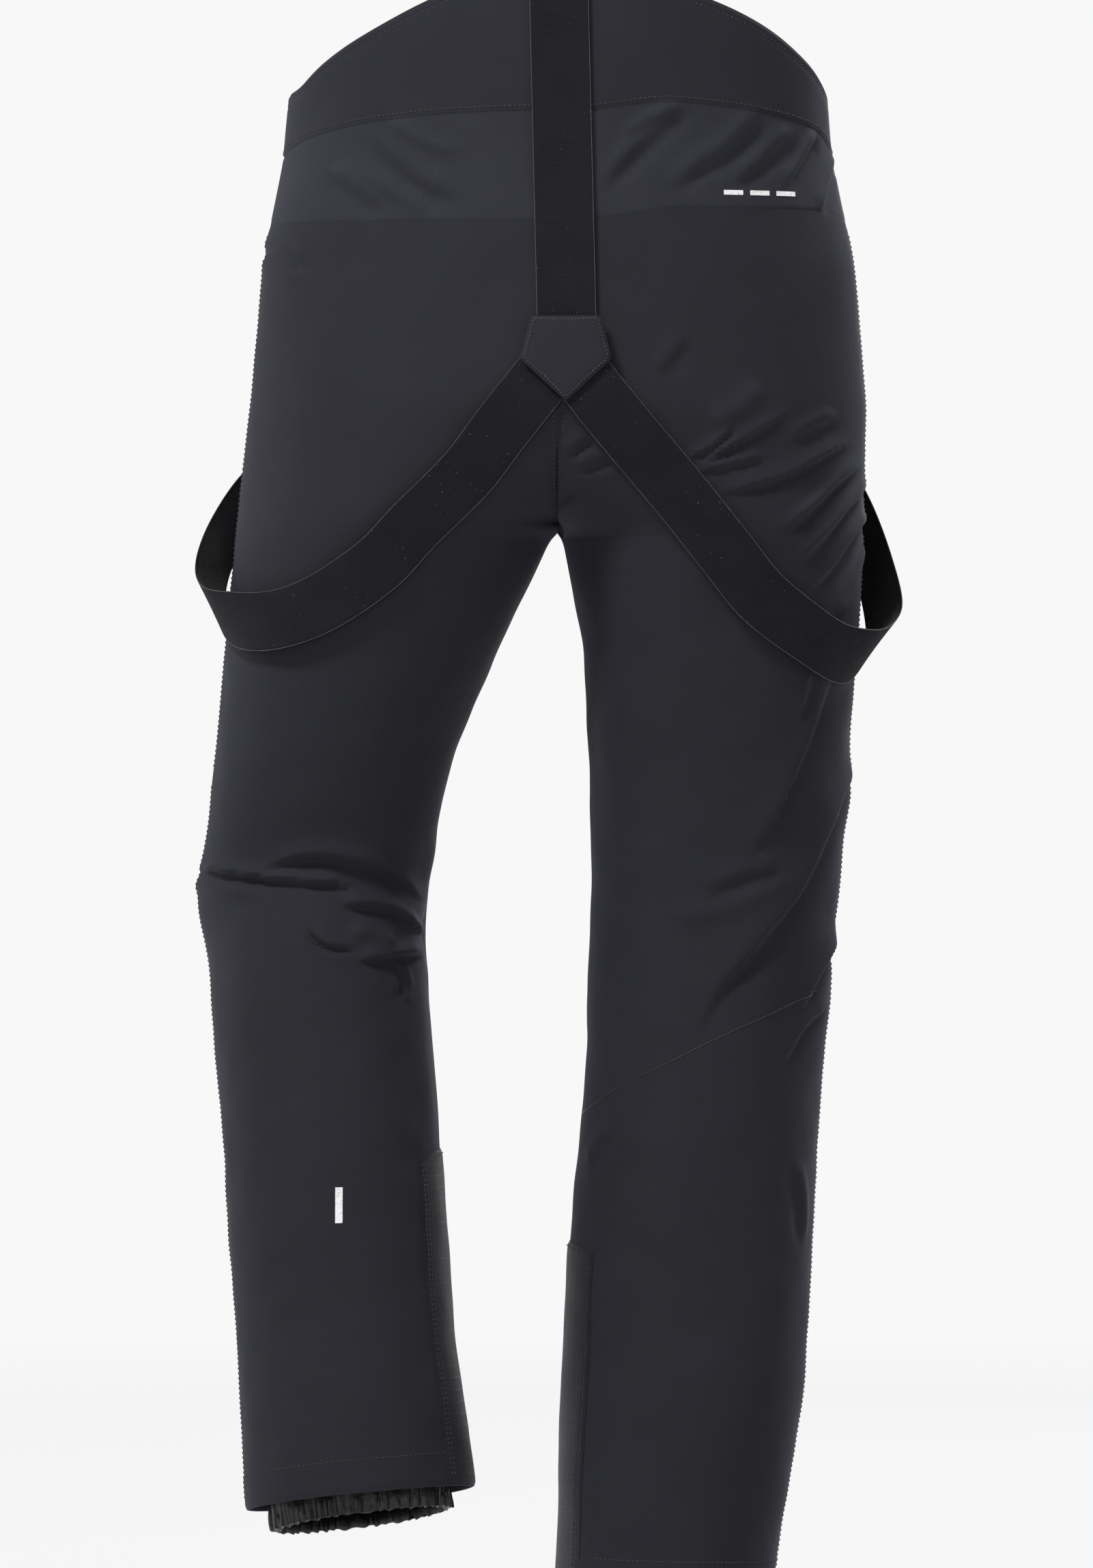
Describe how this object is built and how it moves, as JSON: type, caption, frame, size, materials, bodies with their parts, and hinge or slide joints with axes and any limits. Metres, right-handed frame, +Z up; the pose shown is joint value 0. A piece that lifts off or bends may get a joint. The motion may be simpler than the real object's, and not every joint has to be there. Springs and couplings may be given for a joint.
{
  "type": "ski pants",
  "caption": "Men's softshell ski pants with a raised back waist, dropped elastic braces, ankle guards and snow cuffs, shaped as worn.",
  "frame": {"origin": "centre of the waist opening, 50 mm below the raised back edge", "axes": "+X the wearer's left, +Y the wearer's back, +Z up"},
  "size_m": [0.4816, 0.2646, 1.1122],
  "materials": {
    "shell_cloth": "matt softshell",
    "guard_cloth": "ribbed guard cloth",
    "gaiter_nylon": "glossy gathered nylon",
    "lining_nylon": "smooth lining",
    "metal": "dark plated",
    "elastic_webbing": "ribbed elastic webbing",
    "zip_coil": "laminated zip tape",
    "plastic": "moulded plastic"
  },
  "bodies": {
    "root": {"waistband_back": "shell_cloth", "waistband_front_left": "shell_cloth", "waistband_front_right": "shell_cloth", "back_yoke": "shell_cloth", "seat_back_left": "shell_cloth", "seat_front_left": "shell_cloth", "seat_back_right": "shell_cloth", "seat_front_right": "shell_cloth", "pocket_bag_left": "lining_nylon", "pocket_bag_right": "lining_nylon", "pocket_zip_left_tape": "zip_coil", "pocket_zip_right_tape": "zip_coil", "fly_zip_tape": "zip_coil", "fly_shield": "shell_cloth", "snap_stud_1": "metal", "snap_stud_2": "metal", "brace_strap_left": "elastic_webbing", "brace_strap_right": "elastic_webbing", "brace_anchor_left": "elastic_webbing", "brace_anchor_right": "elastic_webbing", "brace_hook_left": "plastic", "brace_hook_right": "plastic", "brace_back_strap": "elastic_webbing", "brace_junction_patch": "shell_cloth"},
    "left_thigh": {"thigh_back_left": "shell_cloth", "thigh_front_left": "shell_cloth"},
    "left_shin": {"shin_back_left": "shell_cloth", "shin_front_left": "shell_cloth", "kick_patch_left": "guard_cloth", "gaiter_left": "gaiter_nylon", "gaiter_elastic_left": "elastic_webbing"},
    "left_pocket_slider": {"pocket_zip_left_slider": "metal"},
    "left_pocket_pull": {"pocket_zip_left_pull": "plastic"},
    "left_adjuster": {"brace_adjuster_left": "plastic"},
    "right_thigh": {"thigh_back_right": "shell_cloth", "thigh_front_right": "shell_cloth"},
    "right_shin": {"shin_back_right": "shell_cloth", "shin_front_right": "shell_cloth", "kick_patch_right": "guard_cloth", "gaiter_right": "gaiter_nylon", "gaiter_elastic_right": "elastic_webbing"},
    "right_pocket_slider": {"pocket_zip_right_slider": "metal"},
    "right_pocket_pull": {"pocket_zip_right_pull": "plastic"},
    "right_adjuster": {"brace_adjuster_right": "plastic"},
    "fly_slider": {"fly_zip_slider": "metal"},
    "fly_pull": {"fly_zip_pull": "plastic"},
    "front_flap": {"closure_flap": "shell_cloth", "snap_cap_1": "metal", "snap_cap_2": "metal"}
  },
  "joints": [
    {"name": "left_hip", "type": "hinge", "parent": "root", "child": "left_thigh", "pos_m": [0, -0.112, -0.321], "axis": [-1, 0, 0], "range_deg": [0, 40]},
    {"name": "left_knee", "type": "hinge", "parent": "left_thigh", "child": "left_shin", "pos_m": [0.1665, 0.058, -0.55429], "axis": [1, 0, 0], "range_deg": [0, 60]},
    {"name": "left_pocket_zip", "type": "slide", "parent": "root", "child": "left_pocket_slider", "axis": [0.1157, -0.006, -0.9933], "range_m": [0, 0.098]},
    {"name": "left_pocket_pull", "type": "hinge", "parent": "left_pocket_slider", "child": "left_pocket_pull", "pos_m": [0.16111, -0.07362, -0.09754], "axis": [-0.7491, -0.6572, -0.0833], "range_deg": [0, 90]},
    {"name": "left_brace_adjuster", "type": "slide", "parent": "root", "child": "left_adjuster", "axis": [0.0749, -0.0258, -0.9969], "range_m": [-0.018, 0.05]},
    {"name": "right_hip", "type": "hinge", "parent": "root", "child": "right_thigh", "pos_m": [0, -0.112, -0.321], "axis": [-1, 0, 0], "range_deg": [0, 40]},
    {"name": "right_knee", "type": "hinge", "parent": "right_thigh", "child": "right_shin", "pos_m": [-0.1065, 0.08, -0.57659], "axis": [1, 0, 0], "range_deg": [0, 60]},
    {"name": "right_pocket_zip", "type": "slide", "parent": "root", "child": "right_pocket_slider", "axis": [-0.1157, -0.006, -0.9933], "range_m": [0, 0.098]},
    {"name": "right_pocket_pull", "type": "hinge", "parent": "right_pocket_slider", "child": "right_pocket_pull", "pos_m": [-0.16111, -0.07362, -0.09754], "axis": [-0.7491, 0.6572, 0.0833], "range_deg": [0, 90]},
    {"name": "right_brace_adjuster", "type": "slide", "parent": "root", "child": "right_adjuster", "axis": [-0.0749, -0.0258, -0.9969], "range_m": [-0.018, 0.05]},
    {"name": "fly_zip", "type": "slide", "parent": "root", "child": "fly_slider", "axis": [0, -0.0353, -0.9994], "range_m": [0, 0.12]},
    {"name": "fly_pull", "type": "hinge", "parent": "fly_slider", "child": "fly_pull", "pos_m": [0, -0.11978, -0.09777], "axis": [-1, 0, 0], "range_deg": [0, 90]},
    {"name": "front_flap", "type": "hinge", "parent": "root", "child": "front_flap", "pos_m": [0.02861, -0.1146, -0.062], "axis": [-0.0138, 0.0396, 0.9991], "range_deg": [0, 120]}
  ]
}
